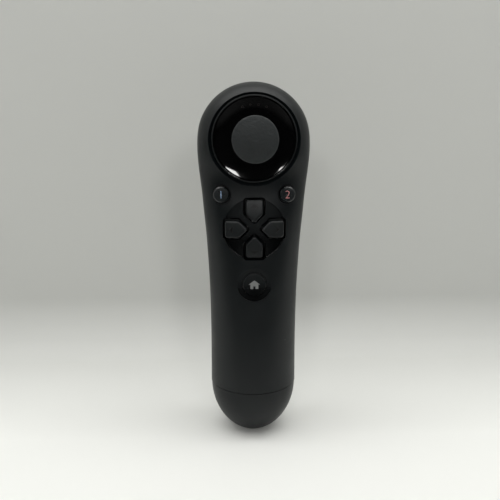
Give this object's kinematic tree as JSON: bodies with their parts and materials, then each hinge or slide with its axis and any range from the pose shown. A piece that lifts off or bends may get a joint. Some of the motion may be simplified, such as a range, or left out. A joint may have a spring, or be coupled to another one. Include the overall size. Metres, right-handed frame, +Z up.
{
  "type": "motion navigation controller",
  "caption": "Wand-shaped hand controller with a tilting thumb-stick, an arrow pad, round buttons, a shoulder button and a pivoting trigger.",
  "frame": {"origin": "centre of the flat foot of the base cap, where the controller stands upright", "axes": "+Z up the handle to the round head, -Y out of the face with the thumb-stick, +Y out of the back with the trigger, +X to the right as seen from the front"},
  "size_m": [0.0422, 0.0414, 0.1381],
  "materials": {
    "casing_plastic": "fine matt texture, near black",
    "cap_plastic": "smooth satin, near black",
    "bezel_gloss": "polished, piano black",
    "stick_rubber": "fine pebbled rubber, dark grey",
    "stick_plastic": "satin, near black",
    "button_plastic": "smooth satin, near black",
    "home_plastic": "semi-gloss, near black",
    "trigger_plastic": "satin, near black",
    "light_guide": "smoky clear moulding",
    "lamp_chip": "small lamp packages",
    "pale_plastic": "unpainted moulding, pale grey",
    "dark_plastic": "moulded resin, black",
    "gimbal_plastic": "slippery moulding, off-white",
    "steel": "plated steel",
    "tinned_steel": "tinned sheet",
    "contact_rubber": "grey silicone rubber",
    "contact_film": "thin printed film",
    "circuit_board": "green solder mask",
    "battery_wrap": "plain shrink wrap, blue",
    "foam": "soft foam, black",
    "lead_plastic": "white plug with its wires"
  },
  "bodies": {
    "casing": {"front_shell": "casing_plastic", "rear_shell": "casing_plastic", "base_cap": "cap_plastic", "stick_bezel": "bezel_gloss", "indicator_lens": "light_guide", "indicator_leds": "lamp_chip", "stick_housing": "pale_plastic", "stick_click_switch": "dark_plastic", "stick_sensor_side": "dark_plastic", "stick_sensor_lower": "dark_plastic", "dpad_rubber": "contact_rubber", "left_rubber": "contact_rubber", "right_rubber": "contact_rubber", "home_rubber": "contact_rubber", "keypad_film": "contact_film", "keypad_frame": "pale_plastic", "main_board": "circuit_board", "board_chips": "dark_plastic", "radio_shield": "tinned_steel", "usb_socket": "tinned_steel", "usb_tongue": "dark_plastic", "battery": "battery_wrap", "battery_pad": "foam", "battery_lead": "lead_plastic", "trigger_pin": "steel", "trigger_spring": "steel", "trigger_bracket": "pale_plastic", "bracket_screws": "steel", "trigger_board": "circuit_board", "trigger_rubber": "contact_rubber", "shoulder_rubber": "contact_rubber", "case_screws": "steel"},
    "yoke": {"stick_yoke": "gimbal_plastic"},
    "pivot": {"stick_pivot": "gimbal_plastic"},
    "stick": {"stick_cap": "stick_plastic", "stick_grip": "stick_rubber", "stick_shaft": "steel"},
    "follower": {"stick_follower": "pale_plastic"},
    "left_action": {"left_button": "button_plastic"},
    "right_action": {"right_button": "button_plastic"},
    "home": {"home_button": "home_plastic"},
    "rocker": {"dpad_pivot": "pale_plastic"},
    "arrow_pad": {"dpad": "button_plastic"},
    "shoulder": {"shoulder_button": "button_plastic"},
    "trigger_lever": {"trigger": "trigger_plastic"}
  },
  "joints": [
    {"name": "stick_tilt_up_down", "type": "hinge", "parent": "casing", "child": "yoke", "pos_m": [0, -0.0034, 0.1178], "axis": [1, 0, 0], "range_deg": [-18, 18], "stiffness_Nm_per_rad": 0.03},
    {"name": "stick_tilt_left_right", "type": "hinge", "parent": "yoke", "child": "pivot", "pos_m": [0, -0.0034, 0.1178], "axis": [0, 0, 1], "range_deg": [-18, 18], "stiffness_Nm_per_rad": 0.03},
    {"name": "stick_press", "type": "slide", "parent": "pivot", "child": "stick", "axis": [0, 1, 0], "range_m": [0, 0.0005], "stiffness_N_per_m": 1500},
    {"name": "stick_follower_turn", "type": "hinge", "parent": "casing", "child": "follower", "pos_m": [0, -0.0034, 0.1178], "axis": [0, 0, 1], "range_deg": [-18, 18]},
    {"name": "left_button_press", "type": "slide", "parent": "casing", "child": "left_action", "axis": [0, 1, 0], "range_m": [0, 0.001], "stiffness_N_per_m": 500, "deforming": ["left_rubber"]},
    {"name": "right_button_press", "type": "slide", "parent": "casing", "child": "right_action", "axis": [0, 1, 0], "range_m": [0, 0.001], "stiffness_N_per_m": 500, "deforming": ["right_rubber"]},
    {"name": "home_button_press", "type": "slide", "parent": "casing", "child": "home", "axis": [0, 1, 0], "range_m": [0, 0.0008], "stiffness_N_per_m": 500, "deforming": ["home_rubber"]},
    {"name": "dpad_tilt_up_down", "type": "hinge", "parent": "casing", "child": "rocker", "pos_m": [0, -0.0056, 0.0854], "axis": [1, 0, 0], "range_deg": [-3.5, 3.5], "stiffness_Nm_per_rad": 0.1, "deforming": ["dpad_rubber"]},
    {"name": "dpad_tilt_left_right", "type": "hinge", "parent": "rocker", "child": "arrow_pad", "pos_m": [0, -0.0056, 0.0854], "axis": [0, 0, 1], "range_deg": [-3.5, 3.5], "stiffness_Nm_per_rad": 0.1, "deforming": ["dpad_rubber"]},
    {"name": "shoulder_press", "type": "slide", "parent": "casing", "child": "shoulder", "axis": [0, -1, 0], "range_m": [0, 0.0012], "stiffness_N_per_m": 500, "deforming": ["shoulder_rubber"]},
    {"name": "trigger_pull", "type": "hinge", "parent": "casing", "child": "trigger_lever", "pos_m": [0, 0.0064, 0.1215], "axis": [1, 0, 0], "range_deg": [-14, 0], "stiffness_Nm_per_rad": 0.06, "deforming": ["trigger_spring", "trigger_rubber"]}
  ],
  "couplings": [
    {"joint": "stick_follower_turn", "follows": "stick_tilt_left_right", "ratio": 1}
  ]
}
